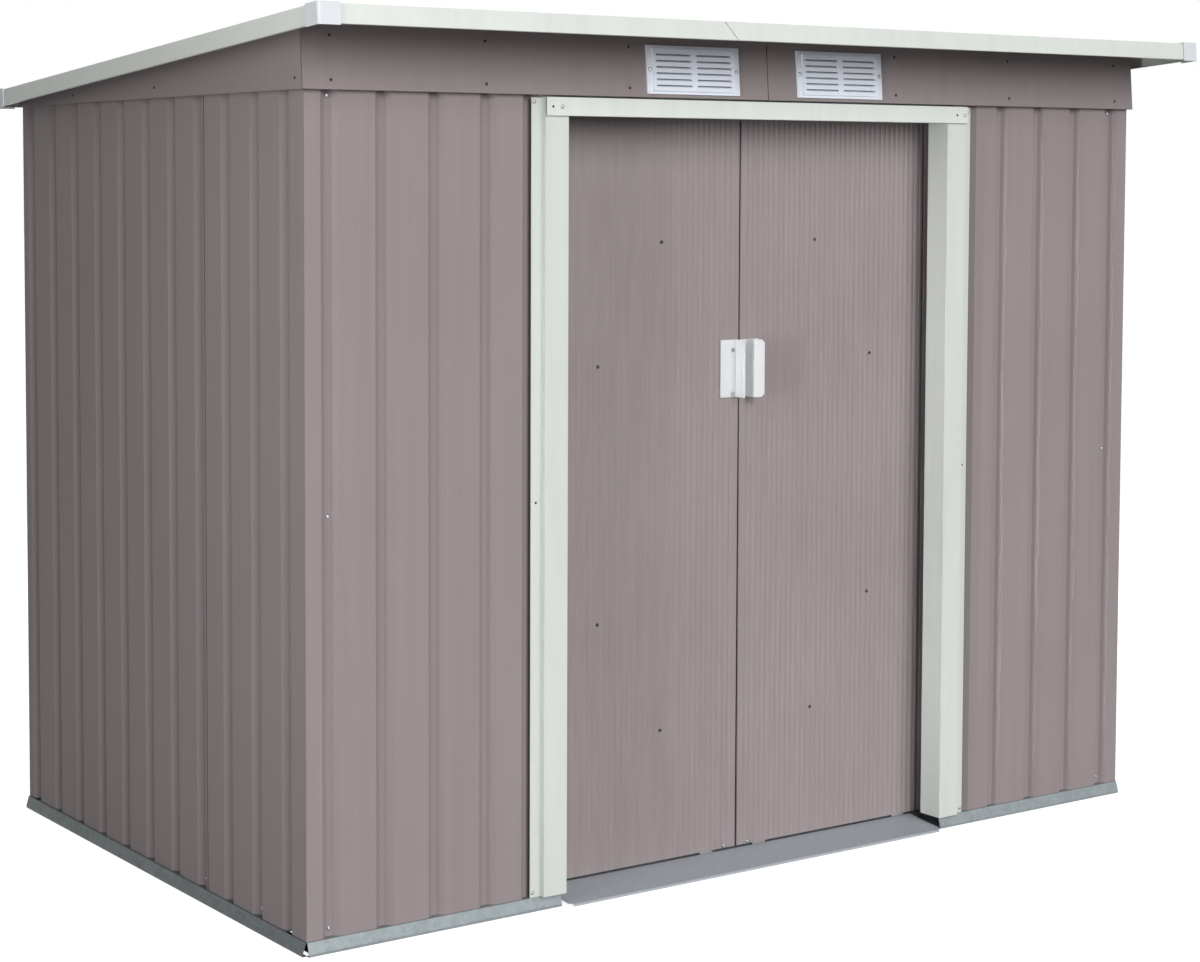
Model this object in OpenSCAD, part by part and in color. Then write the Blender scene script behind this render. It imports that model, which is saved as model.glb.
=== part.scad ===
// Metal storage shed with a lean-to roof and two sliding doors.
// Millimetres, +Z up, doors towards -Y, origin under the middle of the roof.

/* [Walls] */
// Width of the front wall over its raised flats
wall_width = 2200; // [2120:10:2400]
// Depth of the side walls over their raised flats
wall_depth = 1292; // [1286:1:1300]
// Height of the fascia's lower edge above the ground
fascia_low = 1613; // [1595:1:1640]
// How far the wall sheets run up behind the fascia
wall_tuck = 17; // [12:1:24]
// Thickness of the painted sheets
sheet = 0.8; // [0.6:0.1:1.2]
// Distance from one groove to the next
rib_pitch = 117.4; // [116:0.1:118]
// Width of a groove at the outer face
groove_width = 38; // [32:1:42]
// Width of a groove's floor
groove_floor = 12; // [8:1:18]
// Depth of a groove
groove_depth = 11; // [7:0.5:12]
// First front groove, from the corner
front_groove = 54; // [48:1:60]
// Groove beside the door jamb, from the sheet's free edge
jamb_groove = 53.5; // [50:0.5:58]
// First side groove, from the front corner
side_groove = 74; // [70:1:78]
// Length of the corner sheet's leg along the side wall
corner_leg = 398; // [380:1:404]
// Lap of one sheet over the next
sheet_lap = 28; // [16:1:36]
// Return of the rear side sheet round the back corner
back_return = 18; // [12:1:22]

/* [Base rails] */
// Thickness of the galvanised strips
strip = 1.2; // [1:0.1:1.6]
// Height of the ledge that carries the wall sheets
ledge_height = 25; // [20:1:30]
// Overhang of the ledge beyond the wall's face
ledge_out = 3; // [2:0.5:5]
// Overhang of the rail's skirt at the ground
skirt_out = 9; // [7:0.5:14]
// Height of the skirt's upright lip
skirt_lip = 5; // [3:0.5:8]
// Width of the foot flange inside the wall's face
foot_width = 45; // [35:1:55]
// Height of the upstand inside the wall sheets
upstand = 60; // [50:1:80]

/* [Doorway] */
// Half of the clear width between the jambs
opening_half = 513; // [505:1:520]
// Width of a jamb's front face
jamb_face = 55; // [50:1:58]
// How far a jamb stands out from the wall
jamb_out = 13; // [10:1:18]
// How far a jamb's inner side reaches in
jamb_in = 46; // [30:1:60]
// Width of a jamb's flange on the wall
jamb_flange = 25; // [20:1:30]
// Thickness of jambs, header, fascias and trims
trim_sheet = 1; // [0.8:0.1:1.4]
// Height of the header's face
header_tall = 36; // [34:0.5:40]
// How far the header stands out from the jambs
header_out = 4; // [3:0.5:6]
// Gap between the header and the fascia above it
header_gap = 4; // [3:0.5:6]
// How far the ramp's toe lies in front of the wall
ramp_reach = 25; // [18:1:40]
// Height of the fold at the ramp's toe
ramp_lip = 5; // [3:0.5:8]
// Bevel on the ramp's front corners
ramp_bevel = 9; // [5:1:16]
// Gap at each end of the ramp
ramp_gap = 2; // [1:0.5:4]
// Distance from the jamb's inner face to the front rail's end
rail_gap = 7; // [5:0.5:20]

/* [Doors] */
// Depth of the door's face behind the wall's face
door_set_back = 78; // [74:1:84]
// How far a closed door reaches behind its jamb
door_lap = 38; // [34:0.5:42]
// Gap left between the closed doors
door_seam = 6; // [5:0.5:8]
// Height of the doors' lower edge
door_low = 22; // [22:1:26]
// How far the doors reach up behind the header
door_hide = 10; // [8:0.5:12]
// Depth of the door's folded edges
door_fold = 22; // [20:1:24]
// Distance from one flute to the next
flute_pitch = 14.5; // [13:0.5:17]
// Width of a flute at the face
flute_width = 8; // [6:0.5:10]
// Width of a flute's floor
flute_floor = 3; // [2:0.5:4]
// Depth of a flute
flute_depth = 0.9; // [0.6:0.1:1.4]
// Width of a diagonal brace, measured level
brace_width = 48; // [40:1:52]
// Depth of a diagonal brace
brace_depth = 9; // [6:0.5:12]
// Height where the two braces meet at the outer edge
brace_meet = 797; // [770:1:820]
// Distance from the meeting edge to a brace's middle at the door's end
brace_inset = 30; // [28:1:50]

/* [Door handles] */
// Height of the handles' middle
handle_height = 1050; // [980:5:1100]
// Length of a handle
handle_length = 122; // [100:1:140]
// Width of a handle's plate
handle_plate = 48; // [42:1:52]
// Thickness of the handle's plastic
handle_wall = 3; // [2.5:0.5:4]
// Gap from the right door's edge to its pull
pull_gap = 14; // [12:1:18]
// Gap from the left door's edge to its fin
fin_gap = 5; // [3:0.5:8]
// How far the pull stands out
pull_out = 31; // [24:1:36]
// Width of the pull's lip
pull_lip = 27; // [20:1:30]
// Bevel on the lip's outer corners
pull_bevel = 7; // [4:1:9]

/* [Door tracks] */
// Distance from the side wall's face to a track's end
track_inset = 52; // [50:1:70]
// Inner width of the upper track
track_room = 40; // [39:0.5:42]
// Width of the upper track's lips
track_lip = 10; // [9:0.5:11]
// Gap between the doors' upper edge and the upper track
track_gap = 6; // [5:0.5:8]
// Height of the upper track
track_tall = 36; // [34:0.5:40]
// Height of the flange that holds the upper track
track_flange = 22; // [16:1:30]
// Inner width of the lower track
guide_room = 16; // [15:0.5:18]
// Height of the lower track's sides
guide_high = 17; // [15:0.5:17]
// Radius of a roller
roller_radius = 11; // [9:0.5:11]
// Width over a pair of rollers
roller_width = 28; // [26:0.5:29]
// Width of one roller
roller_rim = 8; // [6:0.5:9]
// Radius of a roller's axle
axle_radius = 3; // [2:0.5:4]
// Running gap between a roller and its track
roller_gap = 0.3; // [0.2:0.1:0.6]
// Width of a hanger plate
hanger_width = 34; // [28:1:40]
// Thickness of hanger plates and guides
hanger_thick = 3; // [2.5:0.5:4]
// Distance from the door's edge to a hanger's middle
hanger_inset = 70; // [50:5:120]
// How far a guide reaches down from the door
guide_drop = 14; // [10:0.5:15]

/* [Frame inside] */
// Height of the middle rails' centre
mid_height = 821; // [780:1:860]
// Height of a middle rail
mid_tall = 40; // [32:1:50]
// Depth of a middle rail
mid_deep = 25; // [18:1:28]
// How far the front middle rails stop from the jamb
mid_stop = 40; // [35:1:60]
// Distance from the fascia's lower edge down to the top rails' lower edge
top_rail_drop = 21; // [16:1:26]
// Width of the top rails' flanges
top_flange = 25; // [20:1:30]
// Depth of the roof beam
beam_deep = 40; // [30:1:50]
// Width of the roof beam
beam_wide = 50; // [40:1:60]
// Width of the roof beam's feet
beam_foot = 18; // [14:1:24]

/* [Roof] */
// Slope of the roof in degrees
roof_slope = 4.4; // [3.9:0.05:4.8]
// Gap between wall sheets and roof at the back
roof_gap = 5; // [4:0.5:8]
// Overhang at each side
side_overhang = 56; // [50:1:70]
// Overhang at the front
front_overhang = 152; // [130:1:170]
// Overhang at the back
back_overhang = 18; // [14:1:26]
// Height of the roof trim's band
trim_band = 36; // [33:1:40]
// Width of the trim's upper flange
trim_flange = 22; // [18:1:28]
// Width of the trim's lower hem
trim_hem = 8; // [6:0.5:10]
// Gap between a roof sheet's edge and the trim
edge_gap = 0.4; // [0.2:0.1:1]
// Distance from the middle to the end of the left front trim
trim_seam = 188; // [150:1:230]
// Lap of the right front trim over the left one
trim_lap = 44; // [38:1:60]
// Slant of the lap's cut end
trim_slant = 33; // [20:1:36]
// How far the left front trim lies behind the right one
trim_step = 2; // [1.5:0.1:2.5]
// Leg length of a corner cap
cap_leg = 46; // [40:1:56]
// Wall of a corner cap
cap_wall = 2.5; // [2:0.1:3]
// How far a corner cap hangs below the trim
cap_drop = 3; // [2:0.5:5]
// Radius of a corner cap's outer edge
cap_radius = 6; // [4:0.5:7]

/* [Fascias and vents] */
// Stand-off of the side fascias from the wall
gable_out = 7; // [5:0.5:8]
// Gap between neighbouring fascia pieces
fascia_gap = 0.6; // [0.4:0.1:1.5]
// Width of the front fascia's lower hem
fascia_hem = 6; // [4:0.5:7]
// Width of a vent
vent_width = 239; // [220:1:250]
// Height of a vent
vent_height = 98; // [90:1:100]
// Distance from the middle to a vent's middle
vent_offset = 198; // [180:1:230]
// Distance from the fascia's lower edge to the vent
vent_rise = 7; // [5:0.5:10]
// Thickness of a vent's outer plate
vent_thick = 3; // [2.5:0.5:4]
// Raise of the vent's inner panel
vent_raise = 3; // [2:0.5:4]
// Border beside the raised panel
panel_side = 14; // [12:0.5:16]
// Border above and below the raised panel
panel_end = 6; // [4:0.5:8]
// Border from the vent's edge to its slots
slot_border_side = 22; // [18:1:26]
// Clearance round the slots in the fascia
vent_room = 3; // [2:0.5:5]
// Border above and below the slots
slot_border_end = 11.5; // [10:0.5:13]
// Width of the bar between the two rows of slots
slot_bar = 14; // [10:1:18]
// Height of a slot
slot_tall = 3.5; // [3:0.1:4.5]
// Slope of the slots, down to the outside
slot_slope = 28; // [20:1:35]

/* [Hidden] */
slot_count = 6;
back_seam_count = 3.5;
roof_seam_count = 3.5;
taupe = [0.56, 0.53, 0.52];
cream = [0.87, 0.88, 0.86];
zinc = [0.60, 0.63, 0.65];
white = [0.92, 0.93, 0.95];
cut = 1;

half_width = wall_width / 2;
half_roof = half_width + side_overhang;
half_groove = groove_width / 2;
corner_last = floor((corner_leg - sheet_lap - half_groove - side_groove) / rib_pitch);
rear_first = ceil((corner_leg + half_groove - side_groove) / rib_pitch);
rear_last = floor((wall_depth - back_return - half_groove - side_groove) / rib_pitch);
back_half_count = floor((half_width - back_return - half_groove) / rib_pitch);
roof_half_count = floor((half_roof - trim_flange - half_groove) / rib_pitch);
ledge_top = ledge_height + strip;
wall_top = fascia_low + wall_tuck;
wall_deep = groove_depth + 2 * sheet;
front_deep = groove_depth + sheet;
rise = tan(roof_slope);
under_back = wall_top + roof_gap;
roof_thick = groove_depth + 2 * sheet;
trim_top = roof_thick + trim_sheet;
trim_low = trim_top - trim_band;
cap_front = cap_wall * cos(roof_slope) + (cap_drop - trim_low) * sin(roof_slope);
cap_back = cap_wall * cos(roof_slope) + (trim_top + cap_wall) * sin(roof_slope);
front_reach = front_overhang + cap_front;
back_reach = back_overhang + cap_back;
front_y = (front_reach - wall_depth - back_reach) / 2;
back_y = front_y + wall_depth;
slope_front = -(wall_depth + front_overhang) / cos(roof_slope);
slope_wall = -wall_depth / cos(roof_slope);
slope_back = back_overhang / cos(roof_slope);
fascia_drop = (under_back + wall_depth * rise - fascia_low) / cos(roof_slope);
fascia_face = slope_wall - fascia_gap - trim_sheet;
header_high = fascia_low - header_gap;
header_low = header_high - header_tall;
top_rail_low = fascia_low - top_rail_drop;
door_high = header_low + door_hide;
door_width = opening_half + door_lap - door_seam / 2;
door_y = front_y + door_set_back;
door_back = door_y + door_fold;
door_mid = (door_y + door_back) / 2;
track_half = half_width - track_inset;
track_low = door_high + track_gap;
track_high = track_low + track_tall;
roller_height = track_low + strip + roller_gap + roller_radius;
sheet_end = opening_half + jamb_face / 2;
jamb_outer = opening_half + jamb_face;
rail_end = opening_half + rail_gap;
guide_front = door_mid - guide_room / 2 - strip;
front_foot = guide_front - front_y;

function roof_under(y) = under_back + (back_y - y) * rise;

function groove(c, w, f, d) = [
  [c - w / 2, 0],
  [c - f / 2, d],
  [c + f / 2, d],
  [c + w / 2, 0]
];

function ribs(list, w, f, d) = [for (c = list) for (p = groove(c, w, f, d)) p];

function raised(list, d) = [for (p = list) [p[0], p[1] + d]];

function turned(list) = [for (p = list) [p[1], p[0]]];

function backward(list) = [for (i = [len(list) - 1 : -1 : 0]) list[i]];

function wall_line(from, to, list) = concat(
  [[from, 0]],
  ribs(list, groove_width, groove_floor, groove_depth),
  [[to, 0]]
);

// Outline of a bent sheet: its outer line, then the same line set in by the thickness
module bent_sheet(line, thick) {
  polygon(concat(line, backward(raised(line, thick))));
}

module upright(low, high) {
  translate([0, 0, low])
    linear_extrude(high - low)
      children();
}

// Draws along X a profile given as [y, z]
module along_x(from, to) {
  translate([from, 0, 0])
    rotate([90, 0, 90])
      linear_extrude(to - from)
        children();
}

// Draws along Y a profile given as [x, z]
module along_y(from, to) {
  translate([0, to, 0])
    rotate([90, 0, 0])
      linear_extrude(to - from)
        children();
}

module other_side() {
  mirror([1, 0, 0])
    children();
}

module both_sides() {
  children();
  other_side()
    children();
}

// Frame of the roof: its XY plane is the sheets' underside, y = 0 over the back wall
module on_roof() {
  translate([0, back_y, under_back])
    rotate([-roof_slope, 0, 0])
      children();
}

// Base rails

module rail_profile(foot) {
  inner = -wall_deep;
  polygon([
    [inner, ledge_height + upstand],
    [inner, ledge_top],
    [ledge_out, ledge_top],
    [skirt_out, skirt_lip],
    [skirt_out, 0],
    [-foot, 0],
    [-foot, strip],
    [skirt_out - strip, strip],
    [skirt_out - strip, skirt_lip],
    [ledge_out - strip, ledge_height],
    [inner - strip, ledge_height],
    [inner - strip, ledge_height + upstand]
  ]);
}

module skirt_profile() {
  intersection() {
    rail_profile(foot_width);
    square([skirt_out, ledge_top]);
  }
}

module base_rails_front() {
  color(zinc)
    both_sides()
      translate([0, front_y, 0]) {
        along_x(wall_deep - half_width, -rail_end)
          mirror([1, 0])
            rail_profile(front_foot);
        along_x(-half_width, -rail_end)
          mirror([1, 0])
            skirt_profile();
      }
}

module base_rail_back() {
  color(zinc)
    translate([0, back_y, 0]) {
      along_x(wall_deep - half_width, half_width - wall_deep)
        rail_profile(foot_width);
      along_x(-half_width, half_width)
        skirt_profile();
    }
}

module side_base_rail() {
  translate([-half_width, 0, 0]) {
    along_y(front_y + front_foot, back_y - foot_width)
      mirror([1, 0])
        rail_profile(foot_width);
    along_y(front_y, back_y)
      mirror([1, 0])
        skirt_profile();
  }
}

module base_rail_left() {
  color(zinc)
    side_base_rail();
}

module base_rail_right() {
  color(zinc)
    other_side()
      side_base_rail();
}

module door_ramp() {
  toe = front_y - ramp_reach;
  half = opening_half - trim_sheet - ramp_gap;
  color(zinc)
    intersection() {
      along_x(-half, half)
        polygon([
          [toe, 0],
          [toe + strip, 0],
          [toe + strip, ramp_lip - strip],
          [guide_front, guide_high - strip],
          [guide_front, guide_high],
          [toe, ramp_lip]
        ]);
      upright(-cut, guide_high + cut)
        polygon([
          [-half, guide_front],
          [-half, toe + ramp_bevel],
          [ramp_bevel - half, toe],
          [half - ramp_bevel, toe],
          [half, toe + ramp_bevel],
          [half, guide_front]
        ]);
    }
}

module lower_track() {
  half = guide_room / 2;
  color(zinc)
    translate([0, door_mid, 0])
      along_x(-track_half, track_half)
        difference() {
          translate([-half - strip, 0])
            square([guide_room + 2 * strip, guide_high]);
          translate([-half, strip])
            square([guide_room, guide_high]);
        }
}

// Wall sheets

// Front leg and side leg of the sheet that is bent round the front corner
module front_corner_sheet() {
  last = half_width - sheet_end - jamb_groove;
  count = ceil((last - groove_width - front_groove) / rib_pitch);
  front_list = concat([for (i = [0 : count - 1]) front_groove + i * rib_pitch], [last]);
  side_list = [for (i = [0 : corner_last]) side_groove + i * rib_pitch];
  front_line = concat(ribs(front_list, groove_width, groove_floor, groove_depth),
    [[half_width - sheet_end, 0]]);
  side_line = concat(ribs(side_list, groove_width, groove_floor, groove_depth), [[corner_leg, 0]]);
  translate([-half_width, front_y, 0])
    upright(ledge_top, wall_top)
      polygon(concat(
        backward(turned(side_line)),
        [[0, 0]],
        front_line,
        backward(raised(front_line, sheet)),
        [[sheet, sheet]],
        turned(raised(side_line, sheet))
      ));
}

module front_left_sheet() {
  color(taupe)
    front_corner_sheet();
}

module front_right_sheet() {
  color(taupe)
    other_side()
      front_corner_sheet();
}

// Rear side sheet: lies inside the corner sheet's free edge and turns round the back corner
module rear_side_sheet() {
  list = [for (i = [rear_first : rear_last]) side_groove + i * rib_pitch];
  end = wall_depth - sheet;
  line = wall_line(corner_leg - sheet_lap, end, list);
  translate([sheet - half_width, front_y, 0])
    upright(ledge_top, wall_top)
      polygon(concat(
        turned(line),
        [[back_return, end], [back_return, end - sheet]],
        [[sheet, end - sheet]],
        backward(turned(raised([for (i = [0 : len(line) - 2]) line[i]], sheet)))
      ));
}

module left_rear_sheet() {
  color(taupe)
    rear_side_sheet();
}

module right_rear_sheet() {
  color(taupe)
    other_side()
      rear_side_sheet();
}

module back_sheet(from, to, list, inset) {
  translate([0, back_y - inset, 0])
    upright(ledge_top, wall_top)
      mirror([0, 1])
        bent_sheet(wall_line(from, to, list), sheet);
}

module back_outer_sheet() {
  seam = -back_seam_count * rib_pitch;
  list = [for (i = [-back_half_count : 1 : -ceil(back_seam_count)]) i * rib_pitch];
  back_sheet(-half_width, seam + sheet_lap / 2, list, 0);
}

module back_left_sheet() {
  color(taupe)
    back_outer_sheet();
}

module back_right_sheet() {
  color(taupe)
    other_side()
      back_outer_sheet();
}

module back_middle_sheet() {
  last = floor(back_seam_count);
  end = back_seam_count * rib_pitch + sheet_lap / 2;
  color(taupe)
    back_sheet(-end, end, [for (i = [-last : 1 : last]) i * rib_pitch], sheet);
}

// Doorway

module jamb_profile() {
  polygon([
    [-jamb_outer - jamb_flange, 0],
    [-jamb_outer - jamb_flange, -trim_sheet],
    [-jamb_outer, -trim_sheet],
    [-jamb_outer, -jamb_out],
    [-opening_half + trim_sheet, -jamb_out],
    [-opening_half + trim_sheet, jamb_in],
    [-opening_half, jamb_in],
    [-opening_half, trim_sheet - jamb_out],
    [trim_sheet - jamb_outer, trim_sheet - jamb_out],
    [trim_sheet - jamb_outer, 0]
  ]);
}

// The jamb's inner side ends below the front top rail
module jamb() {
  translate([0, front_y, 0]) {
    upright(ledge_top, top_rail_low)
      jamb_profile();
    upright(ledge_top, header_high - trim_sheet)
      intersection() {
        jamb_profile();
        translate([-half_width, -jamb_out])
          square([half_width, jamb_out + front_deep]);
      }
  }
}

module jamb_left() {
  color(cream)
    jamb();
}

module jamb_right() {
  color(cream)
    other_side()
      jamb();
}

// Channel over the doorway, open at the back, its top reaching to the front top rail
module door_header() {
  face = -jamb_out - header_out - trim_sheet;
  color(cream)
    translate([0, front_y, 0]) {
      along_x(-jamb_outer, jamb_outer)
        polygon([
          [face, header_low],
          [-jamb_out, header_low],
          [-jamb_out, header_low + trim_sheet],
          [face + trim_sheet, header_low + trim_sheet],
          [face + trim_sheet, header_high - trim_sheet],
          [0, header_high - trim_sheet],
          [0, header_high],
          [face, header_high]
        ]);
      along_x(trim_sheet + ramp_gap - opening_half, opening_half - trim_sheet - ramp_gap) {
        translate([-jamb_out, header_low])
          square([jamb_out + front_deep, trim_sheet]);
        translate([-trim_sheet, header_high - trim_sheet])
          square([front_deep + trim_sheet, trim_sheet]);
      }
    }
}

module upper_track() {
  half = track_room / 2;
  web = front_y + front_deep + strip;
  color(zinc)
    along_x(-track_half, track_half)
      union() {
        translate([web, track_high])
          square([strip, track_flange]);
        translate([web, track_high])
          square([door_mid + half + strip - web, strip]);
        for (side = [-1, 1])
          translate([door_mid, 0])
            mirror([side < 0 ? 1 : 0, 0]) {
              translate([half, track_low])
                square([strip, track_high + strip - track_low]);
              translate([half - track_lip, track_low])
                square([track_lip + strip, strip]);
            }
      }
}

// Doors

// Fluted sheet with all four edges folded back, drawn as the left door
module door_panel() {
  right = -door_seam / 2;
  left = right - door_width;
  count = floor((door_width - 2 * flute_width) / flute_pitch);
  first = (door_width - (count - 1) * flute_pitch) / 2;
  list = [for (i = [0 : count - 1]) left + first + i * flute_pitch];
  line = concat([[left, 0]], ribs(list, flute_width, flute_floor, flute_depth), [[right, 0]]);
  fold = flute_depth + sheet;
  translate([0, door_y, 0]) {
    upright(door_low, door_high) {
      bent_sheet(line, sheet);
      translate([left, 0])
        square([sheet, door_fold]);
      translate([right - sheet, 0])
        square([sheet, door_fold]);
    }
    for (low = [door_low, door_high - sheet])
      upright(low, low + sheet)
        union() {
          translate([left, fold - sheet / 2])
            square([door_width, door_fold - fold + sheet / 2]);
          bent_sheet(line, fold);
        }
  }
}

module door_left_panel() {
  color(taupe)
    door_panel();
}

module door_right_panel() {
  color(taupe)
    other_side()
      door_panel();
}

// Two diagonal braces that run from the meeting edge's corners and join at the outer edge
module door_braces() {
  right = -door_seam / 2 - sheet - cut;
  left = right - door_width + 2 * (sheet + cut);
  low = door_low + sheet;
  high = door_high - sheet;
  middle = right - brace_inset;
  half = brace_width / 2;
  start = door_y + flute_depth + sheet;
  translate([0, start + brace_depth, 0])
    rotate([90, 0, 0])
      linear_extrude(brace_depth)
        polygon([
          [middle + half, high],
          [middle - half, high],
          [left, brace_meet + half * (high - brace_meet) / (middle - left)],
          [left, brace_meet - half * (brace_meet - low) / (middle - left)],
          [middle - half, low],
          [middle + half, low],
          [left + half, brace_meet]
        ]);
}

module door_left_braces() {
  color(zinc)
    door_braces();
}

module door_right_braces() {
  color(zinc)
    other_side()
      door_braces();
}

// Hangers with rollers on the door's top, guides below it
module door_runners() {
  right = -door_seam / 2;
  left = right - door_width;
  for (middle = [left + hanger_inset, right - hanger_inset]) {
    translate([middle - hanger_width / 2, door_mid - hanger_thick / 2, door_high])
      cube([hanger_width, hanger_thick, roller_height - door_high]);
    translate([middle, door_mid, roller_height])
      rotate([90, 0, 0]) {
        cylinder(h = roller_width, r = axle_radius, center = true, $fn = 32);
        for (side = [-1, 1])
          translate([0, 0, side * (roller_width - roller_rim) / 2])
            cylinder(h = roller_rim, r = roller_radius, center = true, $fn = 48);
      }
    translate([middle - hanger_width / 2, door_mid - hanger_thick / 2, door_low - guide_drop])
      cube([hanger_width, hanger_thick, guide_drop]);
  }
}

module door_left_runners() {
  color(white)
    door_runners();
}

module door_right_runners() {
  color(white)
    other_side()
      door_runners();
}

// Plate on the door and a pull that stands out from it, drawn on the left door
module handle_profile(pull, tip) {
  right = -door_seam / 2 - sheet;
  polygon(concat(
    [
      [right - handle_plate, 0],
      [right, 0],
      [right, -handle_wall],
      [pull, -handle_wall]
    ],
    tip,
    [
      [pull - handle_wall, -handle_wall],
      [right - handle_plate, -handle_wall]
    ]
  ));
}

module door_handle(pull, tip) {
  translate([0, door_y, handle_height - handle_length / 2])
    linear_extrude(handle_length)
      handle_profile(pull, tip);
}

// Plain fin beside the meeting edge
module door_left_handle() {
  pull = -door_seam / 2 - sheet - fin_gap;
  color(white)
    door_handle(pull, [[pull, -pull_out], [pull - handle_wall, -pull_out]]);
}

// Pull with a lip that is turned to the outer side and bevelled at its corners
module door_right_handle() {
  pull = -door_seam / 2 - sheet - pull_gap;
  edge = pull - pull_lip;
  half = handle_length / 2;
  color(white)
    other_side()
      difference() {
        door_handle(pull, [
          [pull, -pull_out],
          [edge, -pull_out],
          [edge, handle_wall - pull_out],
          [pull - handle_wall, handle_wall - pull_out]
        ]);
        for (end = [-1, 1])
          translate([edge, door_y - handle_wall - cut, handle_height + end * half])
            rotate([90, 0, 0])
              linear_extrude(pull_out)
                polygon([
                  [-cut, end * cut],
                  [-cut, -end * (pull_bevel + cut)],
                  [pull_bevel + cut, end * cut]
                ]);
      }
}

// Frame inside

// Channel profile, open towards the room: [depth from the wall, height]
module mid_profile() {
  difference() {
    square([mid_deep, mid_tall]);
    translate([strip, strip])
      square([mid_deep, mid_tall - 2 * strip]);
  }
}

module side_mid_rail() {
  translate([wall_deep - half_width, 0, mid_height - mid_tall / 2])
    along_y(front_y + front_deep + mid_deep, back_y - wall_deep - mid_deep)
      mid_profile();
}

module mid_rail_left() {
  color(zinc)
    side_mid_rail();
}

module mid_rail_right() {
  color(zinc)
    other_side()
      side_mid_rail();
}

module mid_rail_back() {
  color(zinc)
    translate([0, back_y - wall_deep, mid_height - mid_tall / 2])
      along_x(wall_deep - half_width, half_width - wall_deep)
        mirror([1, 0])
          mid_profile();
}

module mid_rails_front() {
  color(zinc)
    both_sides()
      translate([0, front_y + front_deep, mid_height - mid_tall / 2])
        along_x(wall_deep - half_width, -opening_half - mid_stop)
          mid_profile();
}

module side_top_rail() {
  from = front_y + front_deep;
  to = back_y - wall_deep;
  translate([wall_deep - half_width, 0, 0]) {
    along_x(0, strip)
      polygon([
        [from, top_rail_low],
        [to, top_rail_low],
        [to, roof_under(to)],
        [from, roof_under(from)]
      ]);
    translate([0, door_back + door_fold, top_rail_low])
      cube([top_flange, to - door_back - door_fold, strip]);
  }
}

module top_rail_left() {
  color(zinc)
    side_top_rail();
}

module top_rail_right() {
  color(zinc)
    other_side()
      side_top_rail();
}

module top_rail_front() {
  from = front_y + front_deep;
  to = from + top_flange;
  half = half_width - wall_deep - strip;
  color(zinc)
    along_x(-half, half)
      polygon([
        [from, top_rail_low],
        [from + strip, top_rail_low],
        [from + strip, roof_under(from + strip) - strip],
        [to, roof_under(to) - strip],
        [to, roof_under(to)],
        [from, roof_under(from)]
      ]);
}

module top_rail_back() {
  from = back_y - wall_deep;
  to = from - top_flange;
  half = half_width - wall_deep - top_flange;
  color(zinc)
    along_x(-half, half)
      polygon([
        [from, top_rail_low],
        [to, top_rail_low],
        [to, top_rail_low + strip],
        [from - strip, top_rail_low + strip],
        [from - strip, roof_under(from - strip)],
        [from, roof_under(from)]
      ]);
}

// Hat-shaped beam under the roof sheets, from one side top rail to the other
module roof_beam() {
  half = half_width - wall_deep - strip;
  side = beam_wide / 2;
  beam_line = [[side + beam_foot, 0], [side + beam_foot, -strip], [side, -strip], [side, -beam_deep]];
  beam_inner = [[side - strip, 0], [side - strip, strip - beam_deep]];
  color(zinc)
    on_roof()
      translate([0, slope_wall / 2, 0])
        along_x(-half, half)
          polygon(concat(
            beam_line,
            [for (p = backward(beam_line)) [-p[0], p[1]]],
            [for (p = beam_inner) [-p[0], p[1]]],
            backward(beam_inner)
          ));
}

// Roof

module roof_sheet(from, to, list, raise) {
  on_roof()
    translate([0, 0, groove_depth + sheet + raise])
      along_y(slope_front + trim_step + trim_sheet + edge_gap, slope_back - trim_sheet - edge_gap)
        mirror([0, 1])
          bent_sheet(wall_line(from, to, list), sheet);
}

module roof_outer_sheet() {
  seam = -roof_seam_count * rib_pitch;
  list = [for (i = [-roof_half_count : 1 : -ceil(roof_seam_count)]) i * rib_pitch];
  roof_sheet(trim_sheet + edge_gap - half_roof, seam + sheet_lap / 2, list, 0);
}

module roof_left_sheet() {
  color(taupe)
    roof_outer_sheet();
}

module roof_right_sheet() {
  color(taupe)
    other_side()
      roof_outer_sheet();
}

module roof_middle_sheet() {
  last = floor(roof_seam_count);
  end = roof_seam_count * rib_pitch + sheet_lap / 2;
  color(taupe)
    roof_sheet(-end, end, [for (i = [-last : 1 : last]) i * rib_pitch], sheet);
}

// Trim profile: [distance in from its outer face, height]
module trim_profile() {
  polygon([
    [0, trim_low],
    [trim_hem, trim_low],
    [trim_hem, trim_low + trim_sheet],
    [trim_sheet, trim_low + trim_sheet],
    [trim_sheet, roof_thick],
    [trim_flange, roof_thick],
    [trim_flange, trim_top],
    [0, trim_top]
  ]);
}

module roof_trim_front_left() {
  color(cream)
    on_roof()
      translate([0, slope_front + trim_step, 0])
        along_x(-half_roof, -trim_seam - edge_gap)
          trim_profile();
}

// The right front trim's end lies over the left one and is cut off at a slant
module roof_trim_front_right() {
  tail = -trim_seam;
  color(cream)
    on_roof()
      translate([0, slope_front, 0]) {
        along_x(tail, half_roof)
          trim_profile();
        translate([0, trim_step, 0])
          rotate([90, 0, 0])
            linear_extrude(trim_step)
              polygon([
                [tail + trim_hem, trim_low],
                [tail + trim_hem, trim_top],
                [tail - trim_lap, trim_top],
                [tail - trim_lap + trim_slant, trim_low]
              ]);
      }
}

module roof_trim_back() {
  color(cream)
    on_roof()
      translate([0, slope_back, 0])
        along_x(-half_roof, half_roof)
          mirror([1, 0])
            trim_profile();
}

module side_roof_trim() {
  on_roof()
    translate([-half_roof, 0, 0])
      along_y(slope_front + trim_step + trim_flange, slope_back - trim_flange)
        trim_profile();
}

module roof_trim_left() {
  color(cream)
    side_roof_trim();
}

module roof_trim_right() {
  color(cream)
    other_side()
      side_roof_trim();
}

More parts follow.
